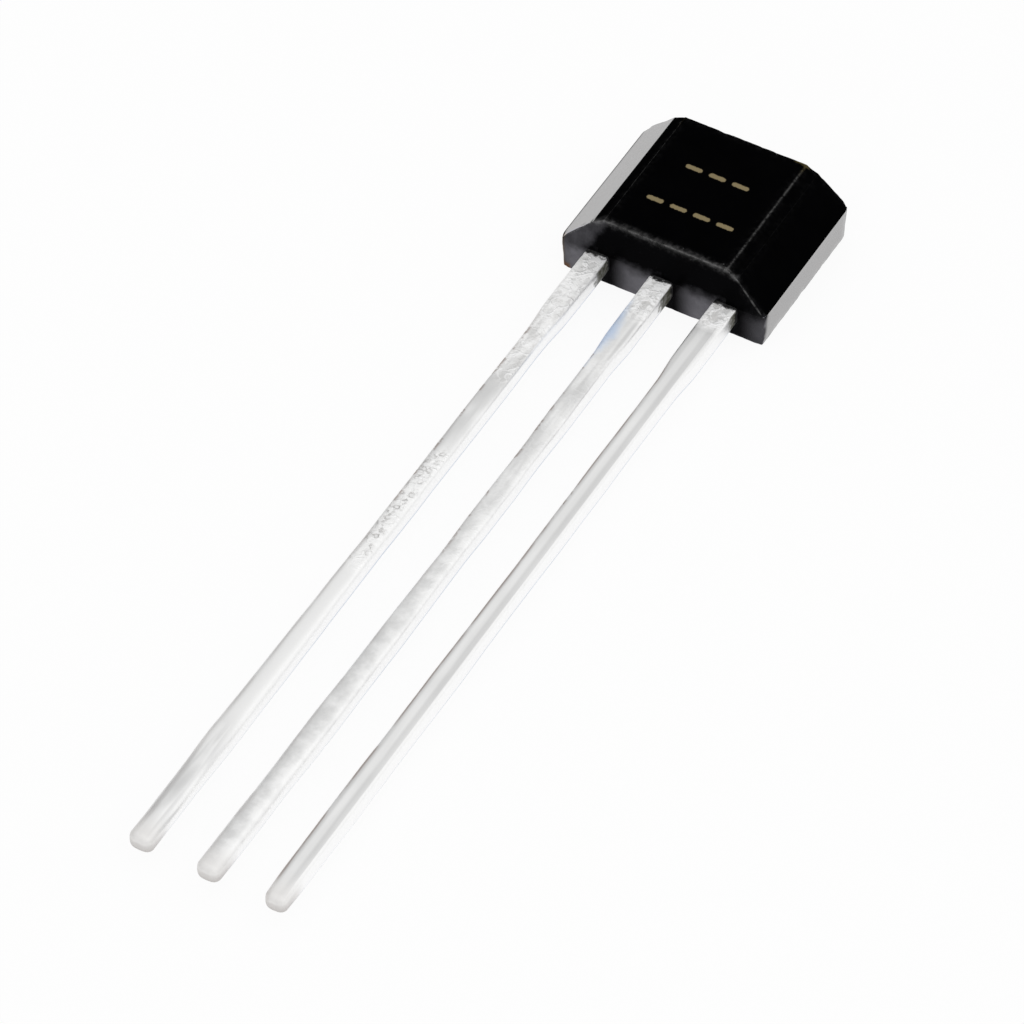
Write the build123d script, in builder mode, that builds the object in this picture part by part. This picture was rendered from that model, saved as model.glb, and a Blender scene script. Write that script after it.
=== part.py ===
from build123d import *
import math
import os

# Three-lead Hall effect sensor in a flat moulded package, lying on its back.
# Millimetres. X runs along the row of leads, the leads point to -Y and the marked face looks to +Z.
# The origin is the centre of the back face.

# Moulded body. Both mould halves are widest at the parting plane.
body_width = 4.06
body_length = 3.18
body_thickness = 1.46
parting_height = 0.73
flat_width = 2.43
shoulder_width = 2.88
facet_drop = 0.13
front_end_inset = 0.095
back_inset = 0.035
mould_edge_radius = 0.03
ejector_diameter = 1.0
ejector_depth = 0.05

# Leads, stamped from one strip whose upper face lies in the parting plane.
strip_thickness = 0.38
lead_pitch = 1.27
lead_length = 15.2
lead_width = 0.38
root_width = 0.46
root_length = 1.6
taper_length = 0.5
lead_edge_radius = 0.06
tip_flat = 0.04
embedded_length = 0.2

# Inner ends of the strip: a bond post on each outer lead, the die paddle on the ground lead.
post_start = 0.75
post_length = 1.0
post_outer_reach = 0.24
strip_gap = 0.26
strip_corner_radius = 0.1
anchor_notch_radius = 0.11
paddle_width = 1.44
paddle_length = 1.6
paddle_shoulder = 0.2

# Chip, its adhesive and its bond pads. The chip's centre is where the sensor feels the field.
sensing_centre = 1.9
die_width = 0.92
die_depth = 0.76
die_thickness = 0.25
attach_thickness = 0.02
attach_margin = 0.04
pad_inset = 0.1
pad_pitch = 0.3

# Gold wires.
wire_diameter = 0.03
ball_diameter = 0.08
ball_height = 0.02
loop_height = 0.14
loop_kink = 0.04
landing_angle = 45
post_landing = 0.5
neck_landing = 0.15

lead_end = -body_length / 2
frame_top = parting_height
frame_bottom = parting_height - strip_thickness
attach_top = frame_top + attach_thickness
die_top = attach_top + die_thickness
paddle_start = sensing_centre - paddle_length / 2
paddle_end = sensing_centre + paddle_length / 2

os.makedirs("parts", exist_ok=True)
inserts = []  # everything that the epoxy is moulded around


def write_piece(piece, label):
    """Names a finished piece and writes it to its own file."""
    piece.part.label = label
    export_step(piece.part, f"parts/{label}.step")


def half_outline(*corners):
    """A closed outline from the corners of its right half, which start and end on the centre line."""
    with BuildSketch() as outline:
        with BuildLine():
            Polyline(*corners)
            mirror(about=Plane.YZ)
        make_face()
    return outline.sketch


# Leads. Each is drawn from where it leaves the body: the leg runs down to its tip, the inner end runs up.
leg_outline = half_outline(
    (0, embedded_length),
    (root_width / 2, embedded_length),
    (root_width / 2, -root_length),
    (lead_width / 2, -root_length - taper_length),
    (lead_width / 2, -lead_length),
    (0, -lead_length),
)
neck_half = root_width / 2
paddle_half = paddle_width / 2
post_inner = paddle_half + strip_gap - lead_pitch
post_outer = neck_half + post_outer_reach
post_end = post_start + post_length

# Die paddle: the neck spreads to the full width over a sloped shoulder.
with BuildSketch() as paddle_outline:
    add(
        half_outline(
            (0, embedded_length),
            (neck_half, embedded_length),
            (neck_half, paddle_start),
            (paddle_half, paddle_start + paddle_shoulder),
            (paddle_half, paddle_end),
            (0, paddle_end),
        )
    )
    fillet(paddle_outline.vertices().group_by(Axis.Y)[-1], radius=strip_corner_radius)

# Bond post of the output lead: it reaches both ways from its neck, and its outer edge has an anchor notch.
with BuildSketch() as post_outline:
    with BuildLine():
        Polyline(
            (-neck_half, embedded_length),
            (neck_half, embedded_length),
            (neck_half, post_start),
            (post_outer, post_start),
            (post_outer, post_end),
            (post_inner, post_end),
            (post_inner, post_start),
            (-neck_half, post_start),
            close=True,
        )
    make_face()
    fillet(post_outline.vertices().group_by(Axis.Y)[-1], radius=strip_corner_radius)
    with Locations((post_outer, post_start + post_length / 2)):
        Circle(anchor_notch_radius, mode=Mode.SUBTRACT)

leads = {
    "lead_supply": (-lead_pitch, mirror(post_outline.sketch, about=Plane.YZ)),
    "lead_ground": (0, paddle_outline.sketch),
    "lead_output": (lead_pitch, post_outline.sketch),
}
for name, (x, inner_outline) in leads.items():
    strip_face = Plane(origin=(x, lead_end, frame_bottom))
    with BuildPart() as lead:
        with BuildSketch(strip_face):
            add(leg_outline)
        extrude(amount=strip_thickness)
        fillet(lead.edges().filter_by(Axis.Z).group_by(Axis.Y)[0], radius=(lead_width - tip_flat) / 2)
        rims = lead.faces().filter_by(Axis.Z).edges()
        fillet(rims - rims.group_by(Axis.Y)[-1], radius=lead_edge_radius)
        with BuildSketch(strip_face):
            add(inner_outline)
        extrude(amount=strip_thickness)
    write_piece(lead, name)
    inserts.append(lead.part)

# Adhesive layer and chip, stacked on the paddle.
with BuildPart() as die_attach:
    with BuildSketch(Plane.XY.offset(frame_top)):
        with Locations((0, lead_end + sensing_centre)):
            Rectangle(die_width + 2 * attach_margin, die_depth + 2 * attach_margin)
    extrude(amount=attach_thickness)
write_piece(die_attach, "die_attach")

with BuildPart() as hall_die:
    with BuildSketch(Plane.XY.offset(attach_top)):
        with Locations((0, lead_end + sensing_centre)):
            Rectangle(die_width, die_depth)
    extrude(amount=die_thickness)
write_piece(hall_die, "hall_die")
inserts += [die_attach.part, hall_die.part]

# Gold wires. Each starts in a squashed ball on its pad, rises, kinks over and slopes down to the strip,
# where its cut end is welded. All three pads stand in a row along the chip's near edge.
pad_y = lead_end + sensing_centre - die_depth / 2 + pad_inset
drop = die_top - frame_top
landing_slope = math.tan(math.radians(landing_angle))
wires = {
    "bond_wire_supply": (-pad_pitch, -lead_pitch, post_start + post_landing),
    "bond_wire_ground": (0, 0, paddle_start - neck_landing),
    "bond_wire_output": (pad_pitch, lead_pitch, post_start + post_landing),
}
for name, (pad_x, landing_x, landing) in wires.items():
    pad = Vector(pad_x, pad_y, die_top)
    reach = Vector(landing_x, lead_end + landing, die_top) - pad
    loop_plane = Plane(origin=pad, x_dir=reach, z_dir=reach.cross(Vector(0, 0, 1)))
    with BuildPart() as wire:
        with BuildLine(loop_plane) as loop:
            Polyline(
                (0, 0),
                (0, loop_height - loop_kink),
                (loop_kink, loop_height),
                (reach.length - (loop_height + drop) / landing_slope, loop_height),
                (reach.length + wire_diameter, -drop - wire_diameter * landing_slope),
            )
        with BuildSketch(Plane.XY.offset(die_top)):
            with Locations((pad.X, pad.Y)):
                Circle(wire_diameter / 2)
        sweep(path=loop.wires()[0], transition=Transition.RIGHT)
        split(bisect_by=Plane.XY.offset(frame_top), keep=Keep.TOP)
        with Locations(pad):
            Cylinder(ball_diameter / 2, ball_height, align=(Align.CENTER, Align.CENTER, Align.MIN))
    write_piece(wire, name)
    inserts.append(wire.part)

# Moulded body: one outline across the leads meets another along them, which gives the bevelled sides and
# the drafted ends. Every edge but the parting line is softened by the mould.
with BuildPart() as moulded_body:
    with BuildSketch(Plane.XZ):
        add(
            half_outline(
                (0, 0),
                (body_width / 2 - back_inset, 0),
                (body_width / 2, parting_height),
                (shoulder_width / 2, body_thickness - facet_drop),
                (flat_width / 2, body_thickness),
                (0, body_thickness),
            )
        )
    extrude(amount=body_length, both=True)
    with BuildSketch(Plane.YZ):
        add(
            half_outline(
                (0, 0),
                (body_length / 2 - back_inset, 0),
                (body_length / 2, parting_height),
                (body_length / 2 - front_end_inset, body_thickness),
                (0, body_thickness),
            )
        )
    extrude(amount=body_width, both=True, mode=Mode.INTERSECT)
    parting_line = moulded_body.edges().filter_by_position(
        Axis.Z, parting_height - mould_edge_radius, parting_height + mould_edge_radius
    )
    fillet(moulded_body.edges() - parting_line, radius=mould_edge_radius)
    with BuildSketch(Plane.XY):
        Circle(ejector_diameter / 2)
    extrude(amount=ejector_depth, mode=Mode.SUBTRACT)
    add(inserts, mode=Mode.SUBTRACT)
write_piece(moulded_body, "moulded_body")
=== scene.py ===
import math

import bpy
import numpy as np
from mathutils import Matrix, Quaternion, Vector, noise


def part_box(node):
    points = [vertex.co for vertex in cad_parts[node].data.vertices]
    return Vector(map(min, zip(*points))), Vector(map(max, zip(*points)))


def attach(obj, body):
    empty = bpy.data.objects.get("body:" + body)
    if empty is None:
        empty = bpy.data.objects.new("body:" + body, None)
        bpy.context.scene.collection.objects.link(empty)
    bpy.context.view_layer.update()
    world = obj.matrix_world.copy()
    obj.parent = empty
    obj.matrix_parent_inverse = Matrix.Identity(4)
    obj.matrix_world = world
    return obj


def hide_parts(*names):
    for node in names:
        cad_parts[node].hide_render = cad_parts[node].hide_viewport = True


# A three-lead Hall effect sensor lying on its back, dressed over its CAD frame. The leads point to -Y and
# the marked face looks up. Everything is in metres, and mm turns a size in millimetres into metres.
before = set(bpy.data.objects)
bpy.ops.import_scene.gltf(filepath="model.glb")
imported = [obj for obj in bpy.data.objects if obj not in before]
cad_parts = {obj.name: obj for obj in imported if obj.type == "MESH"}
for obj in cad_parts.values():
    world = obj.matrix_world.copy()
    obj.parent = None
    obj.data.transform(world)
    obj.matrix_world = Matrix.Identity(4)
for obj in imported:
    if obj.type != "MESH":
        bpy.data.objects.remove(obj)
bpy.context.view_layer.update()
mm = 0.001


# Moulded body. Black epoxy, pressed round the lead frame in a two-part mould that closes at mid-height, so
# both halves taper away from the parting line. The upper half bevels in to the marked face, the lower half
# is a plain drafted block with the round mark of the ejector pin in the middle of its back.
half_width, half_length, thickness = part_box("moulded_body")[1]
parting = thickness / 2
flat_half = 1.215 * mm
shoulder_half = 1.44 * mm
facet_drop = 0.13 * mm
front_end_inset = 0.095 * mm
back_inset = 0.035 * mm
mould_radius = 0.03 * mm
skin_step = 0.04 * mm
settling_passes = 30
edge_gain = 30
angle_gain = 3
wear_width = 0.075 * mm


def inset_at(height):
    """How far the ends of the upper half have drawn in at this height."""
    return front_end_inset * (height - parting) / (thickness - parting)


levels = [  # half width, half length and height of the body's corners, from the marked face down
    (flat_half, half_length - inset_at(thickness), thickness),
    (shoulder_half, half_length - inset_at(thickness - facet_drop), thickness - facet_drop),
    (half_width, half_length, parting),
    (half_width - back_inset, half_length - back_inset, 0),
]


def walls_between(upper, lower):
    """The four planes through two levels, as outward normals and how far they reach along them."""
    walls = []
    for axis in (0, 1):
        normal = np.zeros(3)
        normal[axis] = upper[2] - lower[2]
        normal[2] = lower[axis] - upper[axis]
        normal /= np.linalg.norm(normal)
        reach = normal[axis] * upper[axis] + normal[2] * upper[2]
        opposite = normal.copy()
        opposite[axis] *= -1
        walls += [(normal, reach), (opposite, reach)]
    return walls


def soften(points, walls):
    """Rounds the edges between walls: each point goes to where a ball of the mould's radius, held inside
    the walls, would touch it. Returns the points, their outward directions, how far each one is turned on
    to an edge, and how near it lies to one. Walls that meet at a blunt angle wear less."""
    centre = points.copy()
    owed = [np.zeros_like(points) for _ in walls]
    for _ in range(settling_passes):
        for i, (normal, reach) in enumerate(walls):
            moved = centre + owed[i]
            outside = np.maximum(moved @ normal - (reach - mould_radius), 0)
            centre = moved - outside[:, None] * normal
            owed[i] = moved - centre
    outward = points - centre
    outward /= np.linalg.norm(outward, axis=1)[:, None]
    flatness = np.max([outward @ normal for normal, _ in walls], axis=0)
    turned = np.clip((1 - flatness) * edge_gain, 0, 1)
    normals = np.array([normal for normal, _ in walls])
    sunk = np.array([reach - points @ normal for normal, reach in walls])
    own = np.argmin(sunk, axis=0)
    beside = np.zeros(len(points))
    for normal, depth in zip(normals, sunk):
        cosine = np.clip(normals[own] @ normal, -1, 1)
        sine = np.sqrt(1 - cosine**2) + 1e-6
        sharpness = np.clip(angle_gain * (1 - cosine), 0, 1)
        beside = np.maximum(beside, sharpness * np.exp(-((depth / sine / wear_width) ** 2)))
    return centre + mould_radius * outward, outward, turned, beside


def stops(length):
    """Places from 0 to length, close together at both ends, where the edges are rounded."""
    close = [0, 0.25 * mould_radius, 0.5 * mould_radius, 0.75 * mould_radius, mould_radius]
    open_from = 1.6 * mould_radius
    middle = np.linspace(open_from, length - open_from, max(2, round(length / skin_step)))
    return np.array(close + list(middle) + [length - place for place in reversed(close)])


def between(a, b, shares):
    return [np.array(a) + (np.array(b) - np.array(a)) * share for share in shares]


# One row of points round the outline, on a square of half size 1, counter-clockwise from above.
across = stops(2 * half_width) / half_width - 1
along = stops(2 * half_length) / half_length - 1
outline = np.array(
    [(u, -1) for u in across[:-1]]
    + [(1, v) for v in along[:-1]]
    + [(u, 1) for u in across[:0:-1]]
    + [(-1, v) for v in along[:0:-1]]
)
row = len(outline)

# Rows from the middle of the marked face out to its rim, down the sides and in over the back, where they
# close in on the circle that the ejector pin leaves.
face_rows = 3  # the stops that a face skips in its middle, where nothing is rounded
rings = between((0, 0, thickness), levels[0], stops(half_length)[face_rows:] / half_length)
for upper, lower in zip(levels, levels[1:]):
    run = math.dist(upper, lower)
    rings += between(upper, lower, stops(run)[1:] / run)
upper_rings = sum(ring[2] >= parting for ring in rings)
skin = np.array([[(u * half_x, v * half_y, z) for u, v in outline] for half_x, half_y, z in rings])

ejector_radius = 0.5 * mm
ejector_depth = 0.05 * mm
back_half_x, back_half_y, _ = levels[-1]
angles = np.arctan2(outline[:, 1] * back_half_y, outline[:, 0] * back_half_x)
circle = np.stack([np.cos(angles), np.sin(angles), 0 * angles], axis=1)
rim = skin[-1]
back_shares = stops(half_length)[1:] / half_length
back_rows = [rim + (circle * ejector_radius - rim) * share for share in back_shares]
skin = np.concatenate([skin, back_rows])

upper_walls = [(np.array((0, 0, 1.0)), thickness)]
upper_walls += walls_between(levels[0], levels[1]) + walls_between(levels[1], levels[2])
lower_walls = [(np.array((0, 0, -1.0)), 0)] + walls_between(levels[2], levels[3])
halves = []
for rows, walls in ((skin[:upper_rings], upper_walls), (skin[upper_rings:], lower_walls)):
    halves.append(soften(rows.reshape(-1, 3), walls))
points, outward, edge, beside = (np.concatenate(part) for part in zip(*halves))

# The mould leaves the skin very slightly uneven. The sharp edges are chipped and nicked, most along the
# lead end of the marked face, and the corners are worn round. A thin flash is squeezed out along the
# parting line and trimmed at the lead end, and the gate's torn scar is on the far end. All of it is cut
# inward, so that nothing passes the body's box.
swell_depth = 0.0025 * mm
chip_depth = 0.06 * mm
nick_depth = 0.03 * mm
worn_end_start = 1.2 * mm
worn_end_fade = 0.25 * mm
worn_end_height = 1.3 * mm
corner_wear = 0.025 * mm
corner_reach = 0.09 * mm
parting_reach = 0.06 * mm
gate_half_width = 0.45 * mm
gate_half_height = 0.11 * mm
gate_depth = 0.03 * mm
flash_height = 0.006 * mm
flash_width = 0.012 * mm
flash_trimmed = 0.8
flash_trimmed_from = 1.5 * mm


def eased(share):
    share = min(1, max(0, share))
    return share * share * (3 - 2 * share)


depth = np.empty(len(points))
for i, (point, near) in enumerate(zip(points, beside)):
    here = Vector(point) / mm
    swell = 0.5 + 0.5 * noise.noise(here * 1.1)
    chip = max(0, noise.noise(here * 5) + 0.05)
    nick = max(0, noise.noise(here * 14))
    at_lead_end = eased((-point[1] - worn_end_start) / worn_end_fade)
    worn = 0.25 + 0.75 * at_lead_end * (point[2] > worn_end_height)
    depth[i] = swell_depth * swell + near * worn * (chip_depth * chip + nick_depth * nick)
    from_corner = math.hypot(half_width - abs(point[0]), half_length - abs(point[1]))
    at_parting = math.exp(-(((point[2] - parting) / parting_reach) ** 2))
    depth[i] += corner_wear * (1 + at_parting) * math.exp(-((from_corner / corner_reach) ** 2))
    gate = max(abs(point[0]) / gate_half_width, abs(point[2] - parting) / gate_half_height)
    if point[1] > 0 and gate < 1:
        torn = 0.6 + 0.8 * noise.noise(here * 12)
        depth[i] += gate_depth * torn * min(1, (1 - gate) * 4)
flash = flash_height * (1 - flash_trimmed * (points[:, 1] < -flash_trimmed_from))
depth += flash * (1 - np.exp(-np.abs(points[:, 2] - parting) / flash_width))
points -= outward * depth[:, None]

# Inside the ejector's circle: a step down, then the pin's flat end.
pin_step = [(1, 0.04), (0.992, 0.4), (0.985, 0.84)]
pin_end = [(share, 1) for share in (0.97, 0.8, 0.5, 0.2)]
for share, sunk in pin_step + pin_end:
    inner = circle * ejector_radius * share
    inner[:, 2] = sunk * ejector_depth
    points = np.concatenate([points, inner])
middles = np.array([(0, 0, thickness), (0, 0, ejector_depth)])
points = np.concatenate([points, middles])
unworn = np.zeros(len(points) - len(edge))


def skinned(name, points, row):
    """A closed piece over rows of points. Its last two points close the first and the last row."""
    rows = (len(points) - 2) // row
    last = (rows - 1) * row
    faces = []
    for start in range(0, last, row):
        for k in range(row):
            ahead = (k + 1) % row
            faces.append((start + k, start + row + k, start + row + ahead, start + ahead))
    for k in range(row):
        ahead = (k + 1) % row
        faces.append((k, ahead, len(points) - 2))
        faces.append((last + ahead, last + k, len(points) - 1))
    mesh = bpy.data.meshes.new(name)
    mesh.from_pydata(points.tolist(), [], faces)
    mesh.polygons.foreach_set("use_smooth", [True] * len(mesh.polygons))
    piece = bpy.data.objects.new(name, mesh)
    bpy.context.scene.collection.objects.link(piece)
    return piece


def keep_on(piece, name, values):
    """Keeps one value for each point of a piece, for its finish to read."""
    piece.data.attributes.new(name, "FLOAT", "POINT").data.foreach_set("value", values)


body = skinned("moulded_body_skin", points, row)
keep_on(body, "edge", np.concatenate([edge, unworn]))
keep_on(body, "beside_edge", np.concatenate([beside, unworn]))


class Finish:
    """A material being mixed. node() adds one shader node and hands back one of its outputs. The places
    and sizes in a finish are in millimetres."""

    def __init__(self, owner):
        owner.use_nodes = True
        self.owner, self.tree = owner, owner.node_tree
        self.tree.nodes.clear()

    def node(self, kind, settings=None, sockets=None, output=0):
        node = self.tree.nodes.new("ShaderNode" + kind)
        for setting, value in (settings or {}).items():
            setattr(node, setting, value)
        for socket, value in (sockets or {}).items():
            if isinstance(value, Value):
                self.tree.links.new(value.socket, node.inputs[socket])
            else:
                node.inputs[socket].default_value = value
        return Value(self, node.outputs[output]) if node.outputs else None

    def in_mm(self):
        """The place on the object."""
        place = self.node("TexCoord", output="Object")
        return self.node("VectorMath", {"operation": "SCALE"}, {0: place, "Scale": 1 / mm})

    def kept(self, name):
        """The value that keep_on() gave each point."""
        return self.node("Attribute", {"attribute_name": name}, output="Fac")

    def part_of(self, vector, axis):
        return self.node("SeparateXYZ", {}, {0: vector}, output=axis)

    def noise(self, place, scale, detail=2, roughness=0.5):
        sockets = {"Vector": place, "Scale": scale, "Detail": detail, "Roughness": roughness}
        return self.node("TexNoise", {}, sockets)

    def blend(self, factor, a, b):
        """Colour a, going over to colour b as factor rises to 1."""
        a, b = ((*colour, 1) if isinstance(colour, tuple) else colour for colour in (a, b))
        return self.node("Mix", {"data_type": "RGBA"}, {0: factor, 6: a, 7: b}, output=2)

    def rise(self, value, low, high):
        """0 below low, 1 above high, smooth between."""
        sockets = {"Value": value, "From Min": low, "From Max": high}
        return self.node("MapRange", {"interpolation_type": "SMOOTHSTEP"}, sockets)

    def fall(self, value, low, high):
        """1 below low, 0 above high, smooth between."""
        return 1 - self.rise(value, low, high)

    def band(self, value, low, full, fading, high):
        """0 outside low and high, 1 from full to fading, smooth between."""
        return self.rise(value, low, full) * self.fall(value, fading, high)

    def bump(self, height, depth):
        return self.node("Bump", {}, {"Height": height, "Distance": depth, "Strength": 1.0})

    def surface(self, sockets):
        return self.node("BsdfPrincipled", {}, sockets)

    def cover(self, surface, *pieces):
        """Ends the finish with its surface, and puts it on the pieces."""
        self.node("OutputMaterial", {}, {"Surface": surface})
        for piece in pieces:
            piece.data.materials.clear()
            piece.data.materials.append(self.owner)


class Value:
    """A node's output. Arithmetic on it adds Math nodes."""

    def __init__(self, finish, socket):
        self.finish, self.socket = finish, socket

    def maths(self, operation, *values):
        return self.finish.node("Math", {"operation": operation}, dict(enumerate(values)))

    def __add__(self, other):
        return self.maths("ADD", self, other)

    def __sub__(self, other):
        return self.maths("SUBTRACT", self, other)

    def __rsub__(self, other):
        return self.maths("SUBTRACT", other, self)

    def __mul__(self, other):
        return self.maths("MULTIPLY", self, other)

    def __truediv__(self, other):
        return self.maths("DIVIDE", self, other)

    def __pow__(self, other):
        return self.maths("POWER", self, other)

    def __abs__(self):
        return self.maths("ABSOLUTE", self)

    def at_least(self, other):
        return self.maths("MAXIMUM", self, other)

    def at_most(self, other):
        return self.maths("MINIMUM", self, other)

    def wrapped(self):
        return self.maths("FRACT", self)

    __radd__, __rmul__ = __add__, __mul__


epoxy = Finish(bpy.data.materials.new("black_epoxy"))
place = epoxy.in_mm()
x, y, z = (epoxy.part_of(place, axis) for axis in "XYZ")
below_face = thickness / mm - z
above_parting = z - parting / mm
from_lead_end = y + half_length / mm
from_left_side = x + half_width / mm
past_flat = x - flat_half / mm
sharp = epoxy.kept("edge")
beside_edge = epoxy.kept("beside_edge")

# Two rows of plain dashes, burnt into the marked face by a laser.
dash_half = 0.115
stroke_half = 0.05
dash_pitch = 0.46
burnt_gold = (0.235, 0.19, 0.105)
away = 1.0
for count, row_y in ((3, 0.42), (4, -0.58)):
    for i in range(count):
        dash_x = (i - (count - 1) / 2) * dash_pitch
        past_end = (abs(x - dash_x) - dash_half).at_least(0)
        off_row = y - row_y
        away = ((past_end * past_end + off_row * off_row) ** 0.5).at_most(away)
grain = epoxy.noise(place, 24, 3, 0.7)
uneven = 0.05 * (grain - 0.5)
burnt = epoxy.fall(away + uneven, stroke_half - 0.012, stroke_half + 0.008)
burnt = burnt * epoxy.fall(below_face, 0.01, 0.02)

# The upper half of the mould is polished and leaves the resin nearly black. The lower half leaves it duller
# and a little greyer, least so on the lead end.
deep_black = (0.0006, 0.0006, 0.0007)
soft_black = (0.0015, 0.0015, 0.0017)
dull_black = (0.013, 0.0125, 0.0135)
mottle = epoxy.noise(place, 2.2, 3)
lower = epoxy.fall(above_parting, -0.02, 0.0)
lead_end_face = epoxy.fall(from_lead_end, 0.10, 0.12)
duller = lower * (1 - 0.7 * lead_end_face)
colour = epoxy.blend(mottle, deep_black, soft_black)
colour = epoxy.blend(duller, colour, dull_black)

# Handling rubs the sharp edges a little pale, and over that a painted highlight runs along them in a broken
# line, most along the lead end of the marked face and down its right edge, with a speckled painted glow
# beside them. At the far end the painted highlight is golden.
glow_grey = (0.10, 0.098, 0.10)
highlight_grey = (0.25, 0.247, 0.245)
highlight_gold = (0.20, 0.16, 0.07)
lead_end_rim = epoxy.fall(from_lead_end, 0.19, 0.29) * epoxy.fall(below_face, 0.11, 0.21)
right_rim = epoxy.band(past_flat, -0.115, -0.035, 0.045, 0.125) * epoxy.fall(below_face, 0.04, 0.08)
speckle = epoxy.rise(epoxy.noise(place, 9, 4, 0.7), 0.40, 0.72)
speckled_glow = beside_edge ** 0.6 * speckle * (0.1 + 0.7 * lead_end_rim)
broken = epoxy.rise(epoxy.noise(place, 11, 4, 0.75), 0.40, 0.60)
# Painted highlight: a broken pale line along the sharp edges, partly real rubbing.
worn_highlight_line = (0.32 * sharp ** 1.5).at_least(lead_end_rim * (0.38 * beside_edge ** 8))
worn_highlight_line = worn_highlight_line.at_least(right_rim * 0.28 * (2.5 * beside_edge).at_most(1) ** 14)
rubbed_and_highlight = worn_highlight_line * (0.15 + 0.85 * broken) + 0.17 * lead_end_rim * beside_edge ** 2
rubbed_and_highlight = rubbed_and_highlight * epoxy.rise(above_parting, -0.18, 0.07)
far_end = epoxy.rise(y, 1.1, 1.4)
# Painted glow beside the edges, then the painted highlight over it.
colour = epoxy.blend(speckled_glow * 0.8, colour, glow_grey)
colour = epoxy.blend(rubbed_and_highlight * 0.9, colour, epoxy.blend(far_end, highlight_grey, highlight_gold))

# One corner of the marked face has a small gold-brown scuff, and a few specks of dust lie about.
scuff_x = 1.12
scuff_y = 1.50
scuff_flattened = 0.45
scuff_brown = (0.09, 0.072, 0.022)
dust_grey = (0.16, 0.16, 0.16)
specks_per_mm = 2.6
from_scuff = (abs(x - scuff_x) * scuff_flattened).at_least(abs(y - scuff_y)) + uneven
scuff = epoxy.fall(from_scuff, 0.03, 0.07) * epoxy.fall(below_face, 0.02, 0.06)
scattered = {"Vector": place, "Scale": specks_per_mm}
from_speck = epoxy.node("TexVoronoi", {}, scattered)
chosen = epoxy.part_of(epoxy.node("TexVoronoi", {}, scattered, output="Color"), "X")
dust = epoxy.fall(from_speck, 0.02, 0.05) * epoxy.rise(chosen, 0.70, 0.75)
colour = epoxy.blend(scuff * 0.8, colour, scuff_brown)
colour = epoxy.blend(dust * 0.5, colour, dust_grey)
colour = epoxy.blend(burnt * (0.8 + 0.3 * grain), colour, burnt_gold)

relief_depth = 0.0009 * mm
roughness = 0.2 + 0.1 * mottle + 0.3 * burnt.at_least(rubbed_and_highlight)
height = 0.6 * epoxy.noise(place, 30, 3) + 0.4 * epoxy.noise(place, 6, 2) - 0.7 * burnt * grain
relief = epoxy.bump(height, relief_depth)
resin = {"Base Color": colour, "Roughness": roughness, "Specular IOR Level": 0.0, "Normal": relief}

# Seen at a low angle the resin mirrors what lies beyond it. The lead end was left glossier below the
# parting line and round the corner beside the supply lead, and just to the right of each lead that gloss is
# cut away as painted shade from the lead. The far end and the left of the lower half are a soft satin.
pitch = 1.27 * mm
root_half = 0.23 * mm
full_glare = 0.505
lead_end_sheen = 0.13
corner_sheen = 0.06
least_sheen = 0.002
facing = epoxy.node("LayerWeight", {}, {"Blend": 0.5}, output="Facing")
blasted = epoxy.noise(place, 34, 2, 0.8)
smudge = epoxy.noise(place, 3.4, 4, 0.65)
smeared = 0.3 * (smudge - 0.5)
low_angle = full_glare * epoxy.rise(facing, 0.58, 0.76) * (0.86 + 0.28 * blasted)
right_of_lead = (x / (pitch / mm)).wrapped() * (pitch / mm) - root_half / mm
# Painted shade: the lead-end gloss is cut just to the right of each lead.
beyond_lead_shade = epoxy.rise(right_of_lead, -0.02, 0.55) * (0.5 + 0.5 * epoxy.fall(x, 1.3, 1.5))
below_parting = epoxy.rise(smeared - above_parting, -0.14, 0.28)
corner_start = -1.48 + 0.50 * above_parting + smeared
corner = epoxy.fall(x - corner_start, -0.14, 0.10)
cloud = (epoxy.noise(place, 2.4, 3, 0.6) * 1.4 + 0.1) * (1.4 - 0.8 * above_parting).at_most(1)
sheen = least_sheen + corner_sheen * corner * cloud * (0.4 + 1.2 * blasted)
sheen = sheen.at_least(lead_end_sheen * below_parting * beyond_lead_shade * (0.55 + 0.9 * smudge))
facing_far = epoxy.rise(epoxy.part_of(epoxy.node("NewGeometry", output="Normal"), "Y"), 0.8, 0.97)
satin = facing_far.at_least(lower * epoxy.fall(x, -1.9, 1.9) * (1 - lead_end_face))
gloss = (low_angle * (1 - 0.6 * burnt)).at_least(sheen * lead_end_face)
gloss = gloss.at_least(satin * (0.02 + 0.03 * smudge))

# The glare is a little violet on the lead end, warm beside its left corner and rusty low down there.
plain_glare = (0.94, 0.93, 0.93)
violet_glare = (0.90, 0.88, 0.97)
warm_glare = (1.0, 0.80, 0.62)
rusty_glare = (1.0, 0.52, 0.30)
left_corner = lead_end_face * epoxy.fall(from_left_side, 0.04, 0.12)
rusty = lead_end_face * epoxy.fall(from_left_side, 0.15, 0.23) * epoxy.fall(z, 0.07, 0.19)
tint = epoxy.blend(lead_end_face, plain_glare, violet_glare)
tint = epoxy.blend(left_corner * 0.8, tint, warm_glare)
tint = epoxy.blend(rusty, tint, rusty_glare)
glare = {"Base Color": tint, "Metallic": 1, "Roughness": roughness, "Normal": relief}
glossed = {0: gloss, 1: epoxy.surface(resin), 2: epoxy.surface(glare)}
epoxy.cover(epoxy.node("MixShader", {}, glossed), body)
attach(body, "root")
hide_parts("moulded_body")


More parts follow.
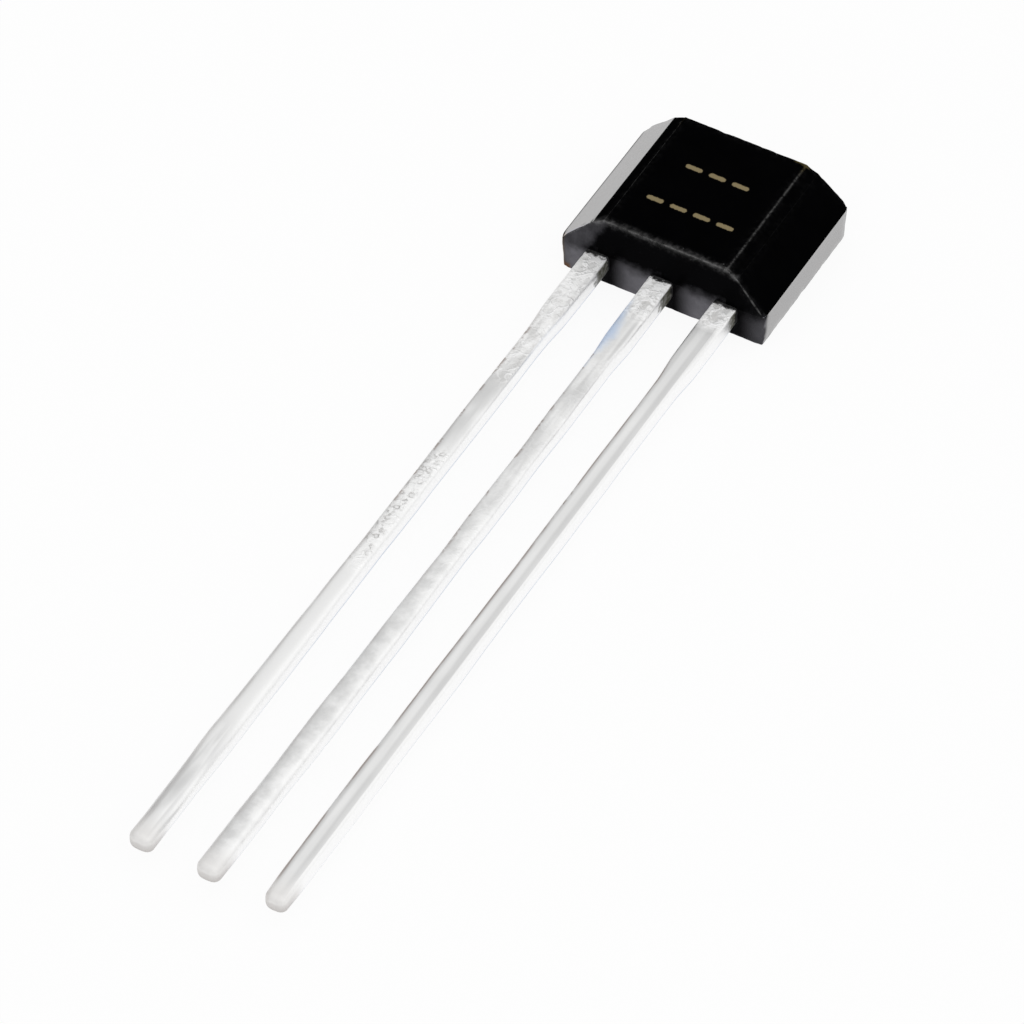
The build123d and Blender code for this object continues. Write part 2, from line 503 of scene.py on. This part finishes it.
# Leads. Three legs of one copper strip, stamped flat, held by the epoxy from the parting plane down and
# dipped in tin once the body is moulded. Inside, each widens into what the chip is wired to or lies on.
lead_end = -half_length
strip_top = parting
strip_half = 0.19 * mm
leg_length = 15.2 * mm
leg_half = 0.19 * mm
root_length = 1.6 * mm
taper_length = 0.5 * mm
tip_radius = 0.15 * mm
tip_bead = 0.14 * mm
post_start = 0.75 * mm
post_end = 1.75 * mm
post_outer = 0.47 * mm
post_inner = 0.29 * mm
corner_radius = 0.1 * mm
notch_radius = 0.11 * mm
paddle_start = 1.1 * mm
paddle_end = 2.7 * mm
paddle_half = 0.72 * mm
paddle_shoulder = 0.2 * mm


def drawn_in(distance, radius):
    """How far a rounded end has drawn in at this distance from it."""
    left = max(0, radius - distance)
    return radius - math.sqrt(max(0, radius**2 - left**2))


def leg_width(out, tip_swell):
    """Half the width of a leg, at this distance out from the body. The tin is thickest near the tip."""
    narrowed = eased((out - root_length + 0.25 * taper_length) / (1.5 * taper_length))
    fattened = tip_swell * eased((out - 0.5 * leg_length) / (0.3 * leg_length))
    return root_half + (leg_half - root_half) * narrowed + fattened - drawn_in(leg_length - out, tip_radius)


def paddle_edges(inward):
    """Half widths of the ground lead inside the body, on its left and its right."""
    share = min(1, max(0, (inward - paddle_start) / paddle_shoulder))
    half = root_half + (paddle_half - root_half) * share - drawn_in(paddle_end - inward, corner_radius)
    return half, half


def post_edges(inward):
    """Half widths of the output lead inside the body, on its left and its right."""
    if inward < post_start:
        return root_half, root_half
    rounding = drawn_in(post_end - inward, corner_radius)
    from_notch = abs(inward - (post_start + post_end) / 2)
    notch = math.sqrt(max(0, notch_radius**2 - from_notch**2))
    return post_inner - rounding, post_outer - max(rounding, notch)


def mirrored_post_edges(inward):
    """The same of the supply lead, which is its mirror image."""
    return post_edges(inward)[::-1]


# Rows of points along a lead, closest together at the tip, then beside the body, where the tin is rough.
leg_step = 0.05 * mm
root_step = 0.025 * mm
fine_up_to = 3.5 * mm
tip_rows = (0, 0.003, 0.010, 0.022, 0.037, 0.055, 0.078, 0.105, 0.135)
even_rows_from = 0.17 * mm
post_step = 0.001 * mm


def rows_along(inner_end):
    """Distances out from the body, from the tip to the inner end, which lies below 0."""
    rows = [leg_length - row * mm for row in tip_rows]
    rows += list(np.arange(leg_length - even_rows_from, fine_up_to, -leg_step))
    rows += list(np.arange(fine_up_to, 0, -root_step)) + [0]
    inside = set(np.arange(leg_step, inner_end, leg_step))
    inside |= {post_start, post_start + post_step, inner_end}
    return rows + [-row for row in sorted(inside) if row <= inner_end]


# One row of points round a lead, on a square of half size 1, closest together at its corners.
side = [-1, -0.96, -0.9, -0.82, -0.72, -0.55, -0.3, 0, 0.3, 0.55, 0.72, 0.82, 0.9, 0.96]
lead_row = [(u, -1) for u in side] + [(1, v) for v in side]
lead_row += [(-u, 1) for u in side] + [(-1, -v) for v in side]

# What the tin does to the strip: how square its section stays, how it wanders, and how rough it sets.
sheared_squareness = 40
tip_squareness = 3
tip_rounding = 0.6 * mm
tin_start = 0.25 * mm
drift_width = 0.008 * mm
swell_width = 0.010 * mm
wave_depth = 0.004 * mm
crease_depth = 0.005 * mm
grit_depth = 0.004 * mm
lump_length = 0.4 * mm
lump_depth = 0.016 * mm
small_lump_depth = 0.008 * mm
smooth_tip = 0.2 * mm


def frost_at(out, frosted):
    """How rough the tin is at this distance out, from the start, end, fade and amount of each stretch."""
    return max(
        eased((out - start) / fade + 1) * eased((end - out) / fade + 1) * amount
        for start, end, fade, amount in frosted
    )


def lead_piece(name, middle, edges_inside, inner_end, frosted, squareness, tip_swell, bow, seed):
    """One lead, as rows of points from its tip to its inner end. Tin rounds its corners, more towards the
    tip, and sets rough and crumpled over the frosted stretches. Each leg is bowed a little to one side."""
    points, frost = [], []
    for out in rows_along(inner_end):
        from_tip = leg_length - out
        out_in_mm = out / mm
        if out >= 0:
            left = right = leg_width(out, tip_swell)
            power = squareness[0] + (squareness[1] - squareness[0]) * out / leg_length
            power *= 1 + 0.3 * noise.noise(Vector((seed, out_in_mm * 0.6, 9)))
            power += (tip_squareness - power) * eased(1 - from_tip / tip_rounding)
        else:
            left, right = edges_inside(-out)
            power = sheared_squareness
        tinned = eased(out / tin_start)
        half_height = strip_half - drawn_in(from_tip, tip_bead)
        frosty = frost_at(out, frosted)
        lumpy = 1 - eased(out / lump_length)
        settled = tinned * eased(from_tip / smooth_tip)
        drift = drift_width * noise.noise(Vector((seed, out_in_mm * 0.35, 0))) * tinned
        drift += bow * math.sqrt(max(0, math.sin(math.pi * out / leg_length)))
        swell = swell_width * noise.noise(Vector((seed, out_in_mm * 0.9, 5))) * tinned
        for u, v in lead_row:
            shrink = (abs(u) ** power + abs(v) ** power) ** (-1 / power)
            half = right if u > 0 else left
            across = u * shrink * (half + swell)
            up = v * shrink * half_height
            slope_x = math.copysign(abs(u * shrink) ** (power - 1) / half, u)
            slope_z = math.copysign(abs(v * shrink) ** (power - 1) / half_height, v)
            slope = Vector((slope_x, 0, slope_z))
            slope.normalize()
            point = Vector((middle + drift + across, lead_end - out, strip_top - strip_half + up))
            here = point / mm
            crease = 0.3 - abs(noise.noise(here * 5 + Vector((seed, 0, 0))))
            grit = noise.noise(here * 12)
            dent = wave_depth * noise.noise(here * 1.5 + Vector((0, seed, 0)))
            dent += frosty * slope.z**2 * (crease_depth * crease + grit_depth * grit)
            dent += lumpy * lump_depth * noise.noise(here * 6)
            dent += lumpy * small_lump_depth * noise.noise(here * 14)
            point += slope * (dent * settled)
            points.append(point)
            frost.append(frosty)
    count = len(lead_row)
    points = np.array(points)
    middles = np.array([points[:count].mean(axis=0), points[-count:].mean(axis=0)])
    piece = skinned(name, np.concatenate([points, middles]), count)
    keep_on(piece, "frost", frost + [frost[0], frost[-1]])
    return piece


supply_strip = lead_piece(
    "lead_supply_strip",
    -pitch,
    mirrored_post_edges,
    post_end,
    frosted=[(0, 3.2 * mm, 0.6 * mm, 0.8), (5.6 * mm, 8.2 * mm, 0.4 * mm, 0.7)],
    squareness=(6, 2.6),
    tip_swell=0.04 * mm,
    bow=0,
    seed=3.1,
)
ground_strip = lead_piece(
    "lead_ground_strip",
    0,
    paddle_edges,
    paddle_end,
    frosted=[(0, 0.9 * mm, 0.3 * mm, 1), (2.5 * mm, 8 * mm, 1.5 * mm, 0.25)],
    squareness=(7, 2.8),
    tip_swell=0.03 * mm,
    bow=0.026 * mm,
    seed=7.7,
)
output_strip = lead_piece(
    "lead_output_strip",
    pitch,
    post_edges,
    post_end,
    frosted=[(0, 0.5 * mm, 0.25 * mm, 1)],
    squareness=(8, 5),
    tip_swell=0.012 * mm,
    bow=0,
    seed=12.4,
)

tin = Finish(bpy.data.materials.new("tinned_copper"))
place = tin.in_mm()
x, y = (tin.part_of(place, axis) for axis in "XY")
out_mm = lead_end / mm - y
inside = tin.fall(out_mm, -0.05, -0.02)
from_middle = ((x / (pitch / mm) + 0.5).wrapped() - 0.5) * (pitch / mm)
supply_lead = tin.fall(x, -1.0, -0.9)
output_lead = tin.rise(x, 0.9, 1.0)
ground_lead = (1 - supply_lead) * (1 - output_lead)
facing_out = tin.node("NewGeometry", output="Normal")
facing_right, facing_up = (tin.part_of(facing_out, axis) for axis in "XZ")
rolled = tin.rise(abs(facing_up), 0.6, 0.95)
sheared = tin.rise(abs(facing_right), 0.90, 0.98)
steep = tin.fall(abs(facing_up), 0.30, 0.70)


def drawn_out(share):
    """The place, stretched along the leads, so that a noise on it streaks the way the tin drained."""
    return tin.node("VectorMath", {"operation": "MULTIPLY"}, {0: place, 1: (1, share, 1)})


# The tin lies in bright and dull patches, drawn out along the leads, and each lead took it differently.
# Over that, each lead is painted lighter towards its right as a painted highlight: down the right of the
# supply lead, across the clouded ground lead, and as a narrow bright track with a bright right edge on the
# output lead. The lower right edges carry a painted bluish reflection.
dull_tin = (0.77, 0.77, 0.767)
bright_tin = (0.98, 0.98, 0.975)
white_tin = (1, 1, 1)
reflected_blue = (0.54, 0.61, 0.74)
patches_and_highlights = tin.rise(tin.noise(drawn_out(0.4), 2.2, 2), 0.30, 0.62)
patches_and_highlights = patches_and_highlights * tin.rise(tin.noise(drawn_out(0.06), 8, 1), 0.32, 0.55)
# Painted highlights towards the right of each lead, over the real patches.
lit_right_side = tin.rise(from_middle + 0.08 * tin.rise(out_mm, 7.5, 9), -0.14, 0.0)
lit_right_side = lit_right_side * tin.band(out_mm, 4.4, 5.6, 12, 13.5)
patches_and_highlights = patches_and_highlights.at_least(supply_lead * lit_right_side)
clouds = tin.rise(tin.noise(place, 2.8, 4, 0.6), 0.34, 0.70)
clouds_and_highlight = 0.04 + 0.62 * clouds + 0.62 * tin.rise(from_middle + 0.08 * clouds, -0.06, 0.20)
patches_and_highlights = patches_and_highlights + ground_lead * tin.rise(out_mm, 4.0, 6.5) * (clouds_and_highlight - patches_and_highlights)
highlight_track = tin.band(from_middle, -0.13, -0.07, 0.0, 0.07)
patches_and_highlights = patches_and_highlights * (1 - 0.75 * output_lead) + output_lead * (0.02 + 0.68 * highlight_track)
patches_and_highlights = patches_and_highlights.at_least(output_lead * tin.rise(from_middle, 0.13, 0.155))
# Painted bluish reflection along the lower right edges.
lower_rim_reflection = tin.rise(-1 * facing_up, 0.02, 0.22) * tin.rise(facing_right, 0.1, 0.4)
lower_rim_reflection = lower_rim_reflection * (0.9 - 0.7 * tin.rise(out_mm, 8, 13))
colour = tin.blend(patches_and_highlights, dull_tin, bright_tin)
colour = tin.blend(sheared, colour, white_tin)
colour = tin.blend(lower_rim_reflection, colour, reflected_blue)

# Where the tin set crumpled, its hollows are painted grey as shade, with painted highlights on the folds
# between them and on flakes beside the body. Further out on the supply lead it is pitted, and each pit has
# a painted grey ring of shade.
hollow_shade_grey = (0.50, 0.49, 0.475)
pit_shade_grey = (0.46, 0.45, 0.44)
pits_per_mm = 6.8
rough = tin.kept("frost")
crest = rough * tin.rise(abs(facing_up), 0.12, 0.45) * tin.fall(out_mm, 2.2, 3.2)
frost = rough * rolled
near_root = tin.fall(out_mm, 0.6, 1.3)
pitted = tin.rise(out_mm, 4.5, 5.5)
crumple = tin.noise(place, 3.8, 3, 0.6)
fold = tin.fall(abs(tin.noise(place, 3.0, 2, 0.55) - 0.5), 0.0, 0.05)
flake = tin.rise(tin.noise(place, 6.5, 3, 0.6), 0.46, 0.58)
hollow_shade = frost * tin.rise(crumple, 0.62, 0.36) * (1 - pitted)
flake_and_fold_highlight = (flake * (0.25 + 0.65 * near_root)).at_least(0.9 * fold * (1 - pitted))
grain = tin.noise(place, 15, 2, 0.6)
from_pit = tin.node("TexVoronoi", {}, {"Vector": place, "Scale": pits_per_mm})
pit = tin.fall(from_pit + 0.9 * (grain - 0.5), 0.26, 0.52)
pit = pit * tin.rise(tin.noise(place, 4.5, 2), 0.36, 0.52) * tin.fall(x + pitch / mm, 0.02, 0.16)
pit_floor = tin.fall(from_pit + 0.6 * (grain - 0.5), 0.14, 0.32)
# Painted shade in the hollows, painted highlights on folds and flakes, painted shade in the pits.
colour = tin.blend(hollow_shade * 0.5, colour, hollow_shade_grey)
colour = tin.blend(frost * flake_and_fold_highlight, colour, white_tin)
colour = tin.blend(frost * pit * (1 - 0.85 * pit_floor) * pitted, colour, pit_shade_grey)

# The ground lead has a bluish stain on one edge, and the output lead's left edge shows the copper through.
stain_x = -0.19
stain_out = 1.65
stain_blue = (0.60, 0.74, 0.97)
copper_brown = (0.40, 0.34, 0.315)
from_stain = abs(x - stain_x) * 4 + abs(out_mm - stain_out) * 0.9
stain = tin.fall(from_stain + tin.noise(place, 4, 2) * 0.8, 0.7, 1.5)
left_edge = tin.rise(-1 * facing_right, 0.05, 0.35) * tin.rise(facing_up, 0.05, 0.30)
thinned = tin.rise(tin.noise(drawn_out(0.4), 3, 3), 0.38, 0.54)
rubbed_off = tin.rise(tin.noise(place, 5, 3, 0.6), 0.52, 0.60) * tin.fall(out_mm, 6, 9)
thin_tin = ((0.2 + 0.8 * output_lead) * thinned).at_least(rubbed_off)
thin_tin = thin_tin * left_edge * tin.rise(out_mm, 1.4, 2.2)
colour = tin.blend(stain * 0.8, colour, stain_blue)
colour = tin.blend(thin_tin * 0.8, colour, copper_brown)

# The last of the tin gathers in a slightly warmer bead, whose underside is painted darker as shade. The
# steep sides beside the body are painted dark brown as a painted reflection of the black body, and set
# matte. A ragged band on each lead right at the body is near black and matte, and the copper shows inside
# the body.
bead_grey = (0.80, 0.785, 0.77)
bead_shade = (0.56, 0.535, 0.52)
reflected_body_brown = (0.065, 0.062, 0.04)
root_black = (0.01, 0.01, 0.01)
copper = (0.70, 0.41, 0.29)
bead = tin.rise(out_mm, 14.5, 15.1)
under = tin.rise(-1 * facing_up, -0.30, 0.20)
ragged = tin.noise(place, 10, 3, 0.6) - 0.5
body_reflection_side = tin.fall(out_mm + 0.5 * ragged + 0.2 * output_lead, 0.38, 0.56)
body_reflection_side = body_reflection_side * steep * (1 - inside)
dark_root_band = tin.fall(out_mm - 0.25 * ragged, 0.05, 0.10) * (1 - inside)
colour = tin.blend(bead * 0.75, colour, bead_grey)
# Painted shade on the underside of the bead.
colour = tin.blend(bead * under * 0.85, colour, bead_shade)
# Painted reflection of the black body on the steep sides beside it.
colour = tin.blend(body_reflection_side * (0.93 + 0.9 * ragged), colour, reflected_body_brown)
# A ragged near-black band where each lead leaves the body.
colour = tin.blend(dark_root_band, colour, root_black)
colour = tin.blend(inside, colour, copper)

relief_depth = 0.018 * mm
matte = frost.at_least(bead).at_least(body_reflection_side).at_least(crest)
metallic = 0.95 - 0.9 * dark_root_band.at_least((0.7 + 0.3 * near_root) * matte)
roughness = 0.36 + 0.08 * patches_and_highlights + 0.08 * matte
height = frost * (0.3 * grain + 1.3 * crumple + 0.4 * flake + 0.5 * fold - 0.8 * pit * pitted)
height = height + 0.12 * tin.noise(drawn_out(0.4), 3, 2)
relief = tin.bump(height, relief_depth)
metal = {"Base Color": colour, "Metallic": metallic, "Roughness": roughness, "Normal": relief}
tin.cover(tin.surface(metal), supply_strip, ground_strip, output_strip)
for strip, node in (
    (supply_strip, "lead_supply"),
    (ground_strip, "lead_ground"),
    (output_strip, "lead_output"),
):
    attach(strip, "root")
    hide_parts(node)


# Chip and its bed. A silicon chip with the sensing plate and three aluminium pads on top, stuck to the
# paddle with a thin layer of silver-filled adhesive.
pad_half = 0.05
pad_pitch = 0.3
pad_inward = 1.62
chip_top = 1.0
dark_silicon = (0.10, 0.12, 0.17)
light_silicon = (0.16, 0.18, 0.24)
track_bronze = (0.45, 0.42, 0.36)
aluminium = (0.80, 0.80, 0.80)
silicon = Finish(bpy.data.materials.new("silicon"))
place = silicon.in_mm()
x, y, z = (silicon.part_of(place, axis) for axis in "XYZ")
tracks = silicon.node("TexBrick", {}, {"Vector": place, "Scale": 9, "Mortar Size": 0.03}, output="Fac")
top_face = silicon.rise(z, chip_top - 0.01, chip_top - 0.002)
pads = 0.0
for pad_x in (-pad_pitch, 0, pad_pitch):
    apart = abs(x - pad_x).at_least(abs(y - (lead_end / mm + pad_inward)))
    pads = silicon.fall(apart, pad_half, pad_half + 0.006).at_least(pads)
pads = pads * top_face
colour = silicon.blend(silicon.noise(place, 5, 3), dark_silicon, light_silicon)
colour = silicon.blend(tracks * top_face * 0.7, colour, track_bronze)
colour = silicon.blend(pads, colour, aluminium)
polished = {"Base Color": colour, "Roughness": 0.2 + 0.2 * tracks, "Metallic": pads}
silicon.cover(silicon.surface(polished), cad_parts["hall_die"])

paste_grey = (0.42, 0.42, 0.43)
silver = (0.70, 0.70, 0.70)
adhesive = Finish(bpy.data.materials.new("silver_adhesive"))
flakes = adhesive.noise(adhesive.in_mm(), 60, 2)
colour = adhesive.blend(flakes, paste_grey, silver)
paste = {"Base Color": colour, "Metallic": 0.6, "Roughness": 0.35 + 0.3 * flakes}
adhesive.cover(adhesive.surface(paste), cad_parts["die_attach"])


# Bond wires. Soft gold wire, drawn finer than a hair, balled on to each pad of the chip, looped over and
# stitched down on the lead beside it.
deep_gold = (0.93, 0.66, 0.27)
bright_gold = (1.0, 0.78, 0.38)
gold = Finish(bpy.data.materials.new("gold"))
drawing = gold.noise(gold.in_mm(), 40, 2)
colour = gold.blend(drawing, deep_gold, bright_gold)
gilt = {"Base Color": colour, "Metallic": 1, "Roughness": 0.14 + 0.14 * drawing}
wires = [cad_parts[f"bond_wire_{lead}"] for lead in ("supply", "ground", "output")]
gold.cover(gold.surface(gilt), *wires)


# Studio. A white table under a broad soft box, in a tent a little brighter overhead and to the right. The
# table is pure white to the camera. The metal and the resin mirror it bright round the sensor and dim
# further off.
table_half = 0.4
corners = [(s * table_half, t * table_half, 0) for s, t in ((-1, -1), (1, -1), (1, 1), (-1, 1))]
mesh = bpy.data.meshes.new("table_top")
mesh.from_pydata(corners, [], [(0, 1, 2, 3)])
table = bpy.data.objects.new("table_top", mesh)
bpy.context.scene.collection.objects.link(table)
white = Finish(bpy.data.materials.new("white_table"))
rays = [f"Is {kind} Ray" for kind in ("Camera", "Glossy", "Transmission")]
to_camera, glossy, passed_on = (white.node("LightPath", output=ray) for ray in rays)
place = white.in_mm()
pool_middle = -7.6
pool_half_length = 9.2
pool_bright_to = 12
pool_dim_from = 40
shadow_share = 0.08
off_side = abs(white.part_of(place, "X"))
off_end = (abs(white.part_of(place, "Y") - pool_middle) - pool_half_length).at_least(0)
off_pool = (off_side * off_side + off_end * off_end) ** 0.5
pool = 1 - 0.9 * white.rise(off_pool, pool_bright_to, pool_dim_from)
lit = white.node("BsdfDiffuse", {}, {"Color": (0.9, 0.9, 0.9, 1)})
pure = white.node("Emission", {}, {"Color": (1, 1, 1, 1), "Strength": pool.at_least(to_camera)})
seen = (1 - shadow_share) * to_camera.at_least(glossy.at_least(passed_on))
white.cover(white.node("MixShader", {}, {0: seen, 1: lit, 2: pure}), table)

world = bpy.data.worlds.new("tent")
bpy.context.scene.world = world
tent = Finish(world)
direction = tent.node("TexCoord", output="Generated")
seen = tent.node("LightPath", output="Is Camera Ray")
dome = 0.75 + 0.20 * tent.part_of(direction, "X") + 0.12 * tent.part_of(direction, "Z")
backdrop = tent.node("Background", {}, {"Color": (1, 1, 1, 1), "Strength": dome.at_least(seen)})
tent.node("OutputWorld", {}, {"Surface": backdrop})

lamp = bpy.data.lights.new("soft_box", "AREA")
lamp.shape = "SQUARE"
lamp.size = 0.25
lamp.energy = 0.05
soft_box = bpy.data.objects.new("soft_box", lamp)
soft_box.location = (0.03, -0.05, 0.15)
soft_box.rotation_euler = (Vector((0, 0, 0)) - soft_box.location).to_track_quat("-Z", "Y").to_euler()
bpy.context.scene.collection.objects.link(soft_box)

# Camera, far off with a long lens, looking down the leads from over their tips.
azimuth, elevation, roll = (math.radians(angle) for angle in (29.82, 47.74, -0.19))
distance = 110.12 * mm
aim = Vector((0.294, -7.355, 0.359)) * mm
level = math.cos(elevation)
back = Vector((math.sin(azimuth) * level, -math.cos(azimuth) * level, math.sin(elevation)))
lens = bpy.data.cameras.new("camera")
lens.sensor_width = 36
lens.lens = 229.01
lens.clip_start = 0.001
lens.clip_end = 10
camera = bpy.data.objects.new("camera", lens)
camera.location = aim + back * distance
camera.rotation_mode = "QUATERNION"
camera.rotation_quaternion = (-back).to_track_quat("-Z", "Y") @ Quaternion((0, 0, 1), roll)
bpy.context.scene.collection.objects.link(camera)
bpy.context.scene.camera = camera
bpy.context.scene.view_settings.view_transform = "Standard"
